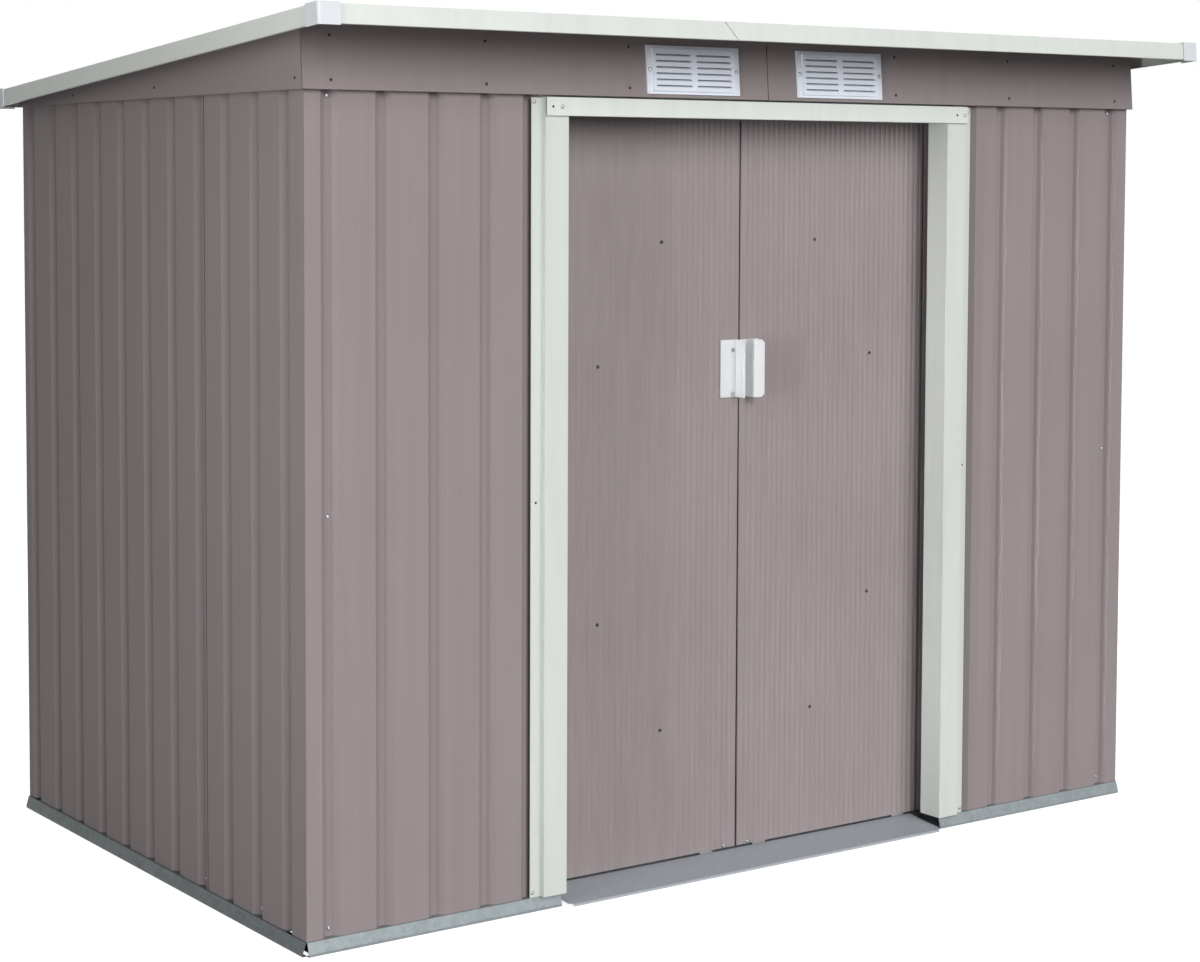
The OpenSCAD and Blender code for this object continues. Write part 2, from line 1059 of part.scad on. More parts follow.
// Moulded cap over one roof corner, drawn with the corner at the origin
module corner_cap() {
  low = trim_low - cap_drop;
  high = trim_top + cap_wall;
  difference() {
    translate([-cap_wall, -cap_wall, low])
      cube([cap_leg, cap_leg, high - low]);
    translate([0, 0, low - cut])
      cube([cap_leg, cap_leg, trim_top - low + cut]);
    translate([-cap_wall, -cap_wall, low - cut])
      difference() {
        translate([-cut, -cut, 0])
          cube([cap_radius + cut, cap_radius + cut, high - low + 2 * cut]);
        translate([cap_radius, cap_radius, -cut])
          cylinder(h = high - low + 4 * cut, r = cap_radius, $fn = 48);
      }
  }
}

module roof_corner_caps() {
  color(white)
    on_roof()
      both_sides() {
        translate([-half_roof, slope_front, 0])
          corner_cap();
        translate([-half_roof, slope_back, 0])
          mirror([0, 1, 0])
            corner_cap();
      }
}

// Fascias and vents

module fascia_front() {
  left = -half_width - gable_out - trim_sheet;
  side = slot_border_side - vent_room;
  end = slot_border_end - vent_room;
  on_roof()
    difference() {
      translate([0, fascia_face, 0]) {
        along_x(left, -fascia_gap / 2)
          translate([0, -fascia_drop])
            square([trim_sheet, fascia_drop]);
        along_x(-half_width, -fascia_gap / 2) {
          translate([0, -trim_sheet])
            square([fascia_gap + trim_sheet + front_deep, trim_sheet]);
          translate([0, -fascia_drop])
            square([fascia_hem, trim_sheet]);
        }
      }
      translate([side - vent_offset - vent_width / 2, fascia_face - cut, vent_rise + end - fascia_drop])
        cube([vent_width - 2 * side, trim_sheet + 2 * cut, vent_height - 2 * end]);
    }
}

module fascia_front_left() {
  color(taupe)
    fascia_front();
}

module fascia_front_right() {
  color(taupe)
    other_side()
      fascia_front();
}

// Wedge under the roof's slope with a hem turned in to the wall
module fascia_side() {
  behind = fascia_gap + trim_sheet;
  lean = fascia_drop * sin(roof_slope);
  from = front_y - lean + behind;
  color(taupe)
    translate([-half_width - gable_out - trim_sheet, 0, 0]) {
      along_x(0, trim_sheet)
        polygon([
          [from, fascia_low],
          [back_y, fascia_low],
          [back_y, roof_under(back_y)],
          [front_y + behind, roof_under(front_y + behind)]
        ]);
      translate([0, front_y, fascia_low])
        cube([gable_out + trim_sheet, wall_depth, trim_sheet]);
    }
}

module fascia_left() {
  fascia_side();
}

module fascia_right() {
  other_side()
    fascia_side();
}

// Plate with a raised panel and two columns of slots
module vent() {
  slot_wide = (vent_width - 2 * slot_border_side - slot_bar) / 2;
  step = (vent_height - 2 * slot_border_end) / slot_count;
  depth = vent_thick + vent_raise;
  on_roof()
    translate([-vent_offset, fascia_face, vent_rise - fascia_drop])
      difference() {
        union() {
          translate([-vent_width / 2, -vent_thick, 0])
            cube([vent_width, vent_thick, vent_height]);
          translate([panel_side - vent_width / 2, -depth, panel_end])
            cube([vent_width - 2 * panel_side, depth, vent_height - 2 * panel_end]);
        }
        for (side = [-1, 1])
          for (i = [0 : slot_count - 1])
            translate([side * (slot_wide + slot_bar) / 2, -depth / 2, slot_border_end + (i + 0.5) * step])
              rotate([slot_slope, 0, 0])
                cube([slot_wide, 3 * depth, slot_tall], center = true);
      }
}

module vent_left() {
  color(white)
    vent();
}

module vent_right() {
  color(white)
    other_side()
      vent();
}

base_rails_front();
base_rail_left();
base_rail_right();
base_rail_back();
door_ramp();
lower_track();
front_left_sheet();
front_right_sheet();
left_rear_sheet();
right_rear_sheet();
back_left_sheet();
back_middle_sheet();
back_right_sheet();
jamb_left();
jamb_right();
door_header();
upper_track();
door_left_panel();
door_right_panel();
door_left_braces();
door_right_braces();
door_left_runners();
door_right_runners();
door_left_handle();
door_right_handle();
mid_rail_left();
mid_rail_right();
mid_rail_back();
mid_rails_front();
top_rail_left();
top_rail_right();
top_rail_front();
top_rail_back();
roof_beam();
roof_left_sheet();
roof_middle_sheet();
roof_right_sheet();
roof_trim_front_left();
roof_trim_front_right();
roof_trim_left();
roof_trim_right();
roof_trim_back();
roof_corner_caps();
fascia_front_left();
fascia_front_right();
fascia_left();
fascia_right();
vent_left();
vent_right();
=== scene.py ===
import math

import bpy
import numpy as np
from mathutils import Matrix, Vector


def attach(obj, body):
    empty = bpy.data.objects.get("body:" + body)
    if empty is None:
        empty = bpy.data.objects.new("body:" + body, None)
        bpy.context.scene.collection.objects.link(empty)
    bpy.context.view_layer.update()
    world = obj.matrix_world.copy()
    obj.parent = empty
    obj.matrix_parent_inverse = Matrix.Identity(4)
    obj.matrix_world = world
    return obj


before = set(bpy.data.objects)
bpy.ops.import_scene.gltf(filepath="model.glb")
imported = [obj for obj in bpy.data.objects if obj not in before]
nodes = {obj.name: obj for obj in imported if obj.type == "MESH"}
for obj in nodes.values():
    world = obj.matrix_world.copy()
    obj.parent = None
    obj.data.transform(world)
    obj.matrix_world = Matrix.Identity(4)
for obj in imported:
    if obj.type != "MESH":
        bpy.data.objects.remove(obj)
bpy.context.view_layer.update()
mm = 0.001
print("frame loaded,", len(nodes), "nodes")

# the shed's own measures in mm, as packed; from lapGroove on, the side sheets lie one sheet further in,
# and up to middleGroove either way the middle sheets of back and roof are one sheet off the outer ones
shed = {"frontY": -578.64, "backY": 713.36, "halfWidth": 1100, "ribPitch": 117.4, "grooveDepth": 11,
        "sideGroove": 74, "lapGroove": 3, "middleGroove": 4, "sheet": 0.8, "slope": 4.4, "underBack": 1635,
        "fasciaFace": -1297.42, "ventX": 198, "doorY": -500.64}
frontY, backY, halfWidth, pitch = (shed[key] for key in ("frontY", "backY", "halfWidth", "ribPitch"))
roofTurn = math.radians(shed["slope"])
sides = ((-1, "left"), (1, "right"))


def linear(hexColour):
    # sRGB hex value to linear RGBA
    part = np.array([int(hexColour[i:i + 2], 16) for i in (1, 3, 5)]) / 255
    return (*np.where(part <= 0.04045, part / 12.92, ((part + 0.055) / 1.055) ** 2.4).tolist(), 1.0)


def addNode(tree, kind, inputs=None, links=None, **settings):
    # one node with its settings, socket values and incoming links
    made = tree.nodes.new(kind)
    for key, value in settings.items():
        setattr(made, key, value)
    for key, value in (inputs or {}).items():
        made.inputs[key].default_value = value
    for key, source in (links or {}).items():
        tree.links.new(source, made.inputs[key])
    return made


def emptyTree(owner):
    owner.use_nodes = True
    owner.node_tree.nodes.clear()
    return owner.node_tree


def startMaterial(name, **sockets):
    made = bpy.data.materials.new(name)
    tree = emptyTree(made)
    shader = addNode(tree, "ShaderNodeBsdfPrincipled", inputs=sockets)
    addNode(tree, "ShaderNodeOutputMaterial", links={"Surface": shader.outputs["BSDF"]})
    place = addNode(tree, "ShaderNodeTexCoord").outputs["Object"]
    return made, tree, shader, place


def patternNoise(tree, place, size, detail, rough=0.5):
    # noise whose lumps are size mm wide, one number or one each along x, y and z
    scale = (1 / mm / np.broadcast_to(size, 3)).tolist()
    stretch = addNode(tree, "ShaderNodeMapping", inputs={"Scale": scale}, links={"Vector": place})
    return addNode(tree, "ShaderNodeTexNoise", inputs={"Scale": 1.0, "Detail": detail, "Roughness": rough},
                   links={"Vector": stretch.outputs["Vector"]})


# coil-coated steel: polyester paint baked on at the mill, then roll-formed, which gives a satin
# surface with a faint orange peel, soft draw streaks along the ribs and slow waves in the flats
wallPaint = {"pale": "#978D8E", "deep": "#908687", "rough": (0.38, 0.5), "gloss": 0.06, "blotch": 420,
             "streak": (22, 22, 900), "streakShare": 0.55, "span": (0.3, 0.7), "wave": (160, 160, 420),
             "waveDepth": 0.4, "peel": 3.0, "peelDepth": 0.035, "bend": 2.2}
doorPaint = dict(wallPaint, pale="#998F90", deep="#8E8485", rough=(0.3, 0.46), gloss=0.12,
                 streak=(11, 11, 170), wave=(23, 60, 180), bend=1.8)
trimPaint = dict(wallPaint, pale="#DCE1DB", deep="#D2D7D1", rough=(0.34, 0.46), gloss=0.5,
                 streak=(30, 30, 500), wave=120, waveDepth=0.25, peelDepth=0.03, bend=1.2)
jambPaint = dict(trimPaint, pale="#CFD4CF", deep="#C6CBC6")


def coatedSteel(name, look):
    made, tree, shader, place = startMaterial(name, **{"IOR": 1.5, "Specular IOR Level": look["gloss"]})
    span = dict(zip(("From Min", "From Max"), look["span"]))
    blotch = patternNoise(tree, place, look["blotch"], 3.0)
    streak = patternNoise(tree, place, look["streak"], 3.0, 0.6)
    shade = addNode(tree, "ShaderNodeMix", data_type="FLOAT", inputs={0: look["streakShare"]},
                    links={2: blotch.outputs["Fac"], 3: streak.outputs["Fac"]})
    spread = addNode(tree, "ShaderNodeMapRange", inputs=span, links={"Value": shade.outputs[0]})
    tone = addNode(tree, "ShaderNodeMix", data_type="RGBA", links={0: spread.outputs["Result"]},
                   inputs={6: linear(look["deep"]), 7: linear(look["pale"])})
    tree.links.new(tone.outputs[2], shader.inputs["Base Color"])
    satin = addNode(tree, "ShaderNodeMapRange", links={"Value": streak.outputs["Fac"]},
                    inputs=dict(span, **{"To Min": look["rough"][0], "To Max": look["rough"][1]}))
    tree.links.new(satin.outputs["Result"], shader.inputs["Roughness"])
    # folds are rounded, not sharp
    bend = addNode(tree, "ShaderNodeBevel", inputs={"Radius": look["bend"] * mm}, samples=6)
    wave = patternNoise(tree, place, look["wave"], 1.0)
    slow = addNode(tree, "ShaderNodeBump", inputs={"Strength": 1.0, "Distance": look["waveDepth"] * mm},
                   links={"Height": wave.outputs["Fac"], "Normal": bend.outputs["Normal"]})
    # real peel is near 0.5 mm, drawn coarser so that it shows
    peel = patternNoise(tree, place, look["peel"], 1.0)
    fine = addNode(tree, "ShaderNodeBump", inputs={"Strength": 1.0, "Distance": look["peelDepth"] * mm},
                   links={"Height": peel.outputs["Fac"], "Normal": slow.outputs["Normal"]})
    tree.links.new(fine.outputs["Normal"], shader.inputs["Normal"])
    return made


# hot-dip galvanised strip: zinc that froze in flat crystals, so the grey changes from cell to cell
# and the shine breaks up, with a little white bloom where it has dulled
zincStrip = {"pale": "#848C8F", "deep": "#798184", "bloom": "#8C9395", "cell": 9, "rough": (0.42, 0.56),
             "metal": 0.45, "cloud": 60, "bloomFrom": (0.5, 0.75), "bloomShare": 0.6, "dent": 0.12}
# the side rails take a darker copy of the same strip: painted shade, for the lesser light that falls on the
# sides
zincShadedSide = dict(zincStrip, pale="#5C6365", deep="#525A5B", bloom="#666D6E")
zincRamp = dict(zincStrip, pale="#A5AAB2", deep="#A0A5AD", bloom="#A9AEB5", metal=0.12)


def galvanisedSteel(name, look):
    made, tree, shader, place = startMaterial(name, **{"Metallic": look["metal"]})
    size = addNode(tree, "ShaderNodeMapping", inputs={"Scale": (1 / mm / look["cell"],) * 3},
                   links={"Vector": place})
    cells = addNode(tree, "ShaderNodeTexVoronoi", inputs={"Scale": 1.0, "Randomness": 1.0},
                    links={"Vector": size.outputs["Vector"]})
    grey = addNode(tree, "ShaderNodeSeparateColor", links={"Color": cells.outputs["Color"]})
    crystal = addNode(tree, "ShaderNodeMix", data_type="RGBA", links={0: grey.outputs["Red"]},
                      inputs={6: linear(look["deep"]), 7: linear(look["pale"])})
    cloud = patternNoise(tree, place, look["cloud"], 4.0)
    dull = addNode(tree, "ShaderNodeMapRange", links={"Value": cloud.outputs["Fac"]},
                   inputs={"From Min": look["bloomFrom"][0], "From Max": look["bloomFrom"][1],
                           "To Max": look["bloomShare"]})
    bloom = addNode(tree, "ShaderNodeMix", data_type="RGBA", inputs={7: linear(look["bloom"])},
                    links={0: dull.outputs["Result"], 6: crystal.outputs[2]})
    tree.links.new(bloom.outputs[2], shader.inputs["Base Color"])
    satin = addNode(tree, "ShaderNodeMapRange", links={"Value": grey.outputs["Green"]},
                    inputs={"To Min": look["rough"][0], "To Max": look["rough"][1]})
    tree.links.new(satin.outputs["Result"], shader.inputs["Roughness"])
    dent = addNode(tree, "ShaderNodeBump", inputs={"Strength": 1.0, "Distance": look["dent"] * mm},
                   links={"Height": cloud.outputs["Fac"]})
    tree.links.new(dent.outputs["Normal"], shader.inputs["Normal"])
    return made


# injection-moulded polypropylene: near-white, a little gloss on a fine spark-eroded grain,
# with slight flow clouds that keep the white from looking dead; the thin handles let light through
mouldedWhite = {"pale": "#EBEEF1", "deep": "#E3E6EA", "rough": (0.34, 0.46), "glow": 0.75, "reach": 14,
                "cloud": 45, "grain": 1.6, "pore": 0.03}
mouldedCap = dict(mouldedWhite, pale="#DBDEE4", deep="#D1D5DA", glow=0.05, reach=4)
# the vents take a paler copy of the caps' white: painted light, which offsets the roof overhang's shade on them
mouldedVentLit = dict(mouldedCap, pale="#EDF2FC", deep="#E3E9F4")


def mouldedPlastic(name, look):
    made, tree, shader, place = startMaterial(name, **{
        "IOR": 1.49, "Subsurface Weight": look["glow"], "Subsurface Scale": 1.0,
        "Subsurface Radius": (look["reach"] * mm,) * 3})
    cloud = patternNoise(tree, place, look["cloud"], 3.0)
    tone = addNode(tree, "ShaderNodeMix", data_type="RGBA", links={0: cloud.outputs["Fac"]},
                   inputs={6: linear(look["deep"]), 7: linear(look["pale"])})
    tree.links.new(tone.outputs[2], shader.inputs["Base Color"])
    # eroded grain is finer, drawn coarser so that it shows
    grain = patternNoise(tree, place, look["grain"], 2.0)
    satin = addNode(tree, "ShaderNodeMapRange", links={"Value": grain.outputs["Fac"]},
                    inputs={"To Min": look["rough"][0], "To Max": look["rough"][1]})
    tree.links.new(satin.outputs["Result"], shader.inputs["Roughness"])
    pores = addNode(tree, "ShaderNodeBump", inputs={"Strength": 1.0, "Distance": look["pore"] * mm},
                    links={"Height": grain.outputs["Fac"]})
    tree.links.new(pores.outputs["Normal"], shader.inputs["Normal"])
    return made


# turned screw steel and sheared sheet: zinc plating is bright, black oxide almost matt, and a cut edge dark and
# dull, drawn wider than the real edge as painted shadow of the gap along a lap; all of them scuffed in small
# spots
zincPlate = {"pale": "#B4BABE", "deep": "#767C80", "metal": 1.0, "rough": (0.18, 0.3), "wear": 2.5}
# black oxide also colours the open punched holes, where it is painted shade of the hole's inside
blackOxideAndHoleShade = dict(zincPlate, pale="#2A2626", deep="#141212", metal=0.3, rough=(0.4, 0.6))
shearedEdgeAndGapShadow = dict(blackOxideAndHoleShade, pale="#332E2E", deep="#1C1919", rough=(0.45, 0.6))


def screwSteel(name, look):
    made, tree, shader, place = startMaterial(name, **{"Metallic": look["metal"]})
    wear = patternNoise(tree, place, look["wear"], 3.0)
    tone = addNode(tree, "ShaderNodeMix", data_type="RGBA", links={0: wear.outputs["Fac"]},
                   inputs={6: linear(look["deep"]), 7: linear(look["pale"])})
    tree.links.new(tone.outputs[2], shader.inputs["Base Color"])
    satin = addNode(tree, "ShaderNodeMapRange", links={"Value": wear.outputs["Fac"]},
                    inputs={"To Min": look["rough"][0], "To Max": look["rough"][1]})
    tree.links.new(satin.outputs["Result"], shader.inputs["Roughness"])
    return made


wallSteel = coatedSteel("coil_coated_steel_taupe", wallPaint)
doorSteel = coatedSteel("coil_coated_steel_taupe_fluted", doorPaint)
trimSteel = coatedSteel("coil_coated_steel_offwhite", trimPaint)
jambSteel = coatedSteel("coil_coated_steel_offwhite_folded", jambPaint)
zincSteel = galvanisedSteel("galvanised_steel_spangled", zincStrip)
shadedSideSteel = galvanisedSteel("galvanised_steel_side_painted_shade", zincShadedSide)
rampSteel = galvanisedSteel("galvanised_steel_pressed", zincRamp)
whitePlastic = mouldedPlastic("polypropylene_moulded_white", mouldedWhite)
capPlastic = mouldedPlastic("polypropylene_moulded_caps", mouldedCap)
litVentPlastic = mouldedPlastic("polypropylene_moulded_vents_painted_light", mouldedVentLit)
zincScrew = screwSteel("screw_steel_zinc_plated", zincPlate)
blackScrewAndHoleShade = screwSteel("screw_steel_blackened_and_hole_shade", blackOxideAndHoleShade)
shearedGapShadowSteel = screwSteel("sheet_steel_sheared_edge_painted_gap_shadow", shearedEdgeAndGapShadow)

# which finish each CAD node shows; what isn't named here is plain galvanised strip
finishes = [
    (wallSteel, ["front_left_sheet", "front_right_sheet", "left_rear_sheet", "right_rear_sheet",
                 "back_left_sheet", "back_middle_sheet", "back_right_sheet",
                 "roof_left_sheet", "roof_middle_sheet", "roof_right_sheet",
                 "fascia_front_left", "fascia_front_right", "fascia_left", "fascia_right"]),
    (doorSteel, ["door_left_panel", "door_right_panel"]),
    # the header takes the paler trim paint, not the jambs' paint: painted light that offsets the roof overhang's
    # shade on it
    (trimSteel, ["roof_trim_front_left", "roof_trim_front_right", "roof_trim_left", "roof_trim_right",
                 "roof_trim_back", "door_header"]),
    (jambSteel, ["jamb_left", "jamb_right"]),
    (rampSteel, ["door_ramp"]),
    (shadedSideSteel, ["base_rail_left", "base_rail_right"]),
    (whitePlastic, ["door_left_handle", "door_right_handle", "door_left_runners", "door_right_runners"]),
    (capPlastic, ["roof_corner_caps"]),
    (litVentPlastic, ["vent_left", "vent_right"]),
]
dressed = {name for _, names in finishes for name in names}
finishes.append((zincSteel, sorted(set(nodes) - dressed)))
for finish, names in finishes:
    for name in names:
        nodes[name].data.materials.clear()
        nodes[name].data.materials.append(finish)
print("finishes on", sum(len(names) for _, names in finishes), "nodes")


def placeObject(name, data):
    made = bpy.data.objects.new(name, data)
    bpy.context.scene.collection.objects.link(made)
    return made


def putMesh(name, points, faces, material, body):
    # points (n, 3) in metres and a list of face index arrays become one piece that rides on body
    mesh = bpy.data.meshes.new(name)
    mesh.from_pydata(points.tolist(), [], [face for block in faces for face in block.tolist()])
    mesh.polygons.foreach_set("use_smooth", np.full(len(mesh.polygons), True))
    mesh.materials.append(material)
    mesh.update()
    piece = placeObject(name, mesh)
    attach(piece, body)


# pan-head screw: rings as (radius share, height share), the cross recess reaches out to the share recess,
# and each next head is twisted by some more radians, since screws stop at any angle
panHead = {"radius": 4.3, "height": 2.3, "segments": 16, "recess": 0.5, "recessDepth": 1.3, "twist": 2.4,
           "rings": [(0.16, 1.0), (0.34, 1.0), (0.52, 0.98), (0.8, 0.82), (0.97, 0.45), (1.0, 0.2), (1.0, -0.1)]}
smallHead = dict(panHead, radius=3.1, height=1.5, recessDepth=0.8)
doorHead = dict(smallHead, radius=3.6)
# an open punched hole shows as a dark dimple with a low burr round it; its dark colour is painted shade of the
# hole's inside
punchedHoleShade = dict(panHead, radius=2.6, height=0.35, recess=0.0, recessDepth=0.0,
                   rings=[(0.7, 0.3), (0.85, 0.4), (0.95, 1.0), (1.0, 0.3), (1.0, -0.3)])


def headSurface(look):
    # ring k has radius r_k and height h_k; going round by angle a, the height drops by
    # recessDepth * max(0, cos 4a) inside the recess, which cuts the cross
    ring = np.array(look["rings"])
    angle = np.arange(look["segments"]) * 2 * np.pi / look["segments"]
    radius = ring[:, :1] * look["radius"] * np.ones_like(angle)
    cross = np.clip(np.cos(4 * angle), 0, 1) * (ring[:, :1] <= look["recess"])
    height = ring[:, 1:] * look["height"] - cross * look["recessDepth"]
    return np.stack([radius * np.cos(angle), radius * np.sin(angle), height], -1) * mm


def headField(name, look, spots, axes, material, body):
    # one head per spot: its surface is turned so that its height runs along the axis there,
    # with axes one for each spot or one for all
    grid = headSurface(look)
    rings, around = grid.shape[:2]
    spots = np.array(spots, float) * mm
    axes = np.broadcast_to(np.array(axes, float), spots.shape)
    axes = axes / np.linalg.norm(axes, axis=1, keepdims=True)
    nearUpright = np.abs(axes[:, 2:]) > 0.9
    sideA = np.cross(np.where(nearUpright, [[1.0, 0, 0]], [[0, 0, 1.0]]), axes)
    sideA /= np.linalg.norm(sideA, axis=1, keepdims=True)
    sideB = np.cross(axes, sideA)
    twist = look["twist"] * np.arange(len(spots))[:, None]
    sideA, sideB = (sideA * np.cos(twist) + sideB * np.sin(twist),
                    sideB * np.cos(twist) - sideA * np.sin(twist))
    flat = grid.reshape(-1, 3)
    points = (spots[:, None] + flat[None, :, :1] * sideA[:, None] + flat[None, :, 1:2] * sideB[:, None]
              + flat[None, :, 2:] * axes[:, None]).reshape(-1, 3)
    i, j = np.meshgrid(np.arange(rings - 1), np.arange(around), indexing="ij")
    k = (j + 1) % around
    quads = np.stack([i * around + j, (i + 1) * around + j, (i + 1) * around + k, i * around + k], -1)
    caps = np.stack([np.arange(around), (rings - 1) * around + np.arange(around)[::-1]])
    start = (np.arange(len(spots)) * rings * around)[:, None, None]
    faces = [(quads.reshape(-1, 4)[None] + start).reshape(-1, 4), (caps[None] + start).reshape(-1, around)]
    putMesh(name, points, faces, material, body)


def onRoof(x, y, z):
    # roof frame to shed frame, in mm: turned by the slope about the back wall's top
    return (x, backY + y * math.cos(roofTurn) + z * math.sin(roofTurn),
            shed["underBack"] - y * math.sin(roofTurn) + z * math.cos(roofTurn))


toFront, toBack = (0, -1, 0), (0, 1, 0)
fasciaOut = (0, -math.cos(roofTurn), math.sin(roofTurn))
roofUp = (0, math.sin(roofTurn), math.cos(roofTurn))

# screws of the wall sheets sit in the groove floors, at the base rail, the middle rail and the top rail
wallScrews = {"rows": (42, 821, 1603), "frontGroove": 1046, "sideGrooves": (1, 3, 5, 7, 9), "sideMid": (3, 7),
              "backGrooves": (-8, -4, 0, 4, 8)}
rows = wallScrews["rows"]
spots, axes = [], []
for side, _ in sides:
    spots += [(side * wallScrews["frontGroove"], frontY + shed["grooveDepth"], z) for z in rows]
    axes += [toFront] * len(rows)
    for k in wallScrews["sideGrooves"]:
        deep = halfWidth - shed["grooveDepth"] - (0 if k < shed["lapGroove"] else shed["sheet"])
        levels = rows[:2] if k in wallScrews["sideMid"] else rows[:1]
        spots += [(side * deep, frontY + shed["sideGroove"] + k * pitch, z) for z in levels]
        axes += [(side, 0, 0)] * len(levels)
for k in wallScrews["backGrooves"]:
    deep = backY - shed["grooveDepth"] - (shed["sheet"] if abs(k) < shed["middleGroove"] else 0)
    spots += [(k * pitch, deep, z) for z in rows]
    axes += [toBack] * len(rows)
headField("wall_screws", panHead, spots, axes, zincScrew, "shed")

# bright screws at both ends of the jamb flanges and of the header, and open punched holes:
# one halfway up each flange and one beside each header screw
jambScrews = {"flangeX": 587, "flangeZ": (1600, 36), "flangeOut": 1, "holeX": 581, "holeZ": 814,
              "headerZ": 1590.5, "headerOut": 18, "headerScrewX": (-531, 559), "headerHoleX": (-553, 536)}
flangeY, headerY = frontY - jambScrews["flangeOut"], frontY - jambScrews["headerOut"]
spots = [(side * jambScrews["flangeX"], flangeY, z) for side, _ in sides for z in jambScrews["flangeZ"]]
spots += [(x, headerY, jambScrews["headerZ"]) for x in jambScrews["headerScrewX"]]
headField("jamb_screws", panHead, spots, toFront, zincScrew, "shed")
spots = [(side * jambScrews["holeX"], flangeY, jambScrews["holeZ"]) for side, _ in sides]
spots += [(x, headerY, jambScrews["headerZ"]) for x in jambScrews["headerHoleX"]]
# the holes are blackened dimples: painted shade of the open holes
headField("jamb_holes_painted_shade", punchedHoleShade, spots, toFront, blackScrewAndHoleShade, "shed")

# fascia: two rows of dark screws along the front, one row on each side wedge; a bright screw at each vent's end
fasciaScrews = {"x": (360, 704, 1048), "rows": (-104, -21.7), "sideYZ": ((-560, 1634), (22, 1634), (420, 1630)),
                "sideOut": 8, "ventHalf": 112.5, "ventZ": -65.8, "ventOut": 3}
spots = [onRoof(side * x, shed["fasciaFace"], z)
         for side, _ in sides for x in fasciaScrews["x"] for z in fasciaScrews["rows"]]
axes = [fasciaOut] * len(spots)
for side, _ in sides:
    spots += [(side * (halfWidth + fasciaScrews["sideOut"]), y, z) for y, z in fasciaScrews["sideYZ"]]
    axes += [(side, 0, 0)] * len(fasciaScrews["sideYZ"])
headField("fascia_screws", smallHead, spots, axes, blackScrewAndHoleShade, "shed")
ventY = shed["fasciaFace"] - fasciaScrews["ventOut"]
spots = [onRoof(side * shed["ventX"] + end * fasciaScrews["ventHalf"], ventY, fasciaScrews["ventZ"])
         for side, _ in sides for end in (-1, 1)]
headField("vent_screws", panHead, spots, fasciaOut, zincScrew, "shed")

# cut edges of the sheets: a dark rounded edge runs up each lap and the fascia's middle joint; it stands for the
# sheet's cut edge and, wider than that, is painted shadow of the gap where the sheets overlap
lapBeadAndGapShadow = {"radius": 1.1, "segments": 8, "low": 27, "high": 1612, "lap": 398, "skin": 0.5, "backLap": 424.9,
           "lapWidth": 28, "backSkin": 0.3, "jointZ": (-121, -8), "jointSkin": 0.7}


def edgeBead(name, start, end, out, material, body, radius=lapBeadAndGapShadow["radius"]):
    # a half circle of the given radius is carried along the straight line from start to end,
    # its back flat on the sheet
    start, end = np.array(start, float), np.array(end, float)
    along, out = (end - start) / np.linalg.norm(end - start), np.array(out, float)
    across = np.cross(along, out)
    angle = np.linspace(0, np.pi, lapBeadAndGapShadow["segments"])
    curve = radius * (np.cos(angle)[:, None] * across + np.sin(angle)[:, None] * out)
    points = np.concatenate([start + curve, end + curve]) * mm
    count = len(angle)
    k = np.arange(count)
    quads = np.stack([k, (k + 1) % count, (k + 1) % count + count, k + count], -1)
    caps = np.stack([k[::-1], k + count])
    putMesh(name, points, [quads, caps], material, body)


low, high = lapBeadAndGapShadow["low"], lapBeadAndGapShadow["high"]
for side, word in sides:
    x, y = side * (halfWidth - lapBeadAndGapShadow["skin"]), frontY + lapBeadAndGapShadow["lap"]
    edgeBead("side_lap_edge_and_gap_shadow_" + word, (x, y, low), (x, y, high), (side, 0, 0), shearedGapShadowSteel, "shed")
    x, y = side * (lapBeadAndGapShadow["backLap"] - lapBeadAndGapShadow["lapWidth"]), backY - lapBeadAndGapShadow["backSkin"]
    edgeBead("back_lap_edge_and_gap_shadow_" + word, (x, y, low), (x, y, high), toBack, shearedGapShadowSteel, "shed")
foot, top = (onRoof(0, shed["fasciaFace"] + lapBeadAndGapShadow["jointSkin"], z) for z in lapBeadAndGapShadow["jointZ"])
edgeBead("fascia_joint_edge_and_gap_shadow", foot, top, fasciaOut, shearedGapShadowSteel, "shed")

# roof screws hold the groove floors to the beam and to the front and back rails
roofScrews = {"grooves": (-8, -4, 0, 4, 8), "lines": (-1285, -647.9, -14), "lift": 0.8}
spots = []
for k in roofScrews["grooves"]:
    lift = roofScrews["lift"] + (shed["sheet"] if abs(k) < shed["middleGroove"] else 0)
    spots += [onRoof(k * pitch, y, lift) for y in roofScrews["lines"]]
headField("roof_screws", panHead, spots, roofUp, zincScrew, "shed")

# the doors' meeting edges are rolled into a hem, which narrows the gap between them
doorHem = {"radius": 1.4, "halfGap": 3, "back": 1.6, "margin": 3}
heights = np.array(nodes["door_left_panel"].bound_box)[:, 2] / mm
low, high = heights.min() + doorHem["margin"], heights.max() - doorHem["margin"]
for side, word in sides:
    body, x, y = "door_" + word, side * doorHem["halfGap"], shed["doorY"] + doorHem["back"]
    edgeBead(body + "_edge_hem", (x, y, low), (x, y, high), (-side, 0, 0),
             doorSteel, body, doorHem["radius"])

# door screws: four dark ones through each face into the braces, a bright one by the seam at the foot,
# and two on each handle
doorScrews = {"face": ((209, 1320), (372, 1068), (371, 538), (207, 299)), "foot": (33, 27),
              "handleX": {"left": 20, "right": 34}, "handleZ": (996, 1089), "handleOut": 3}
for side, word in sides:
    body, y = "door_" + word, shed["doorY"]
    spots = [(side * x, y, z) for x, z in doorScrews["face"]]
    headField(body + "_face_screws", doorHead, spots, toFront, blackScrewAndHoleShade, body)
    footX, footZ = doorScrews["foot"]
    handleX, handleY = side * doorScrews["handleX"][word], y - doorScrews["handleOut"]
    spots = [(side * footX, y, footZ)] + [(handleX, handleY, z) for z in doorScrews["handleZ"]]
    headField(body + "_bright_screws", panHead, spots, toFront, zincScrew, body)
print("screws and edges placed")

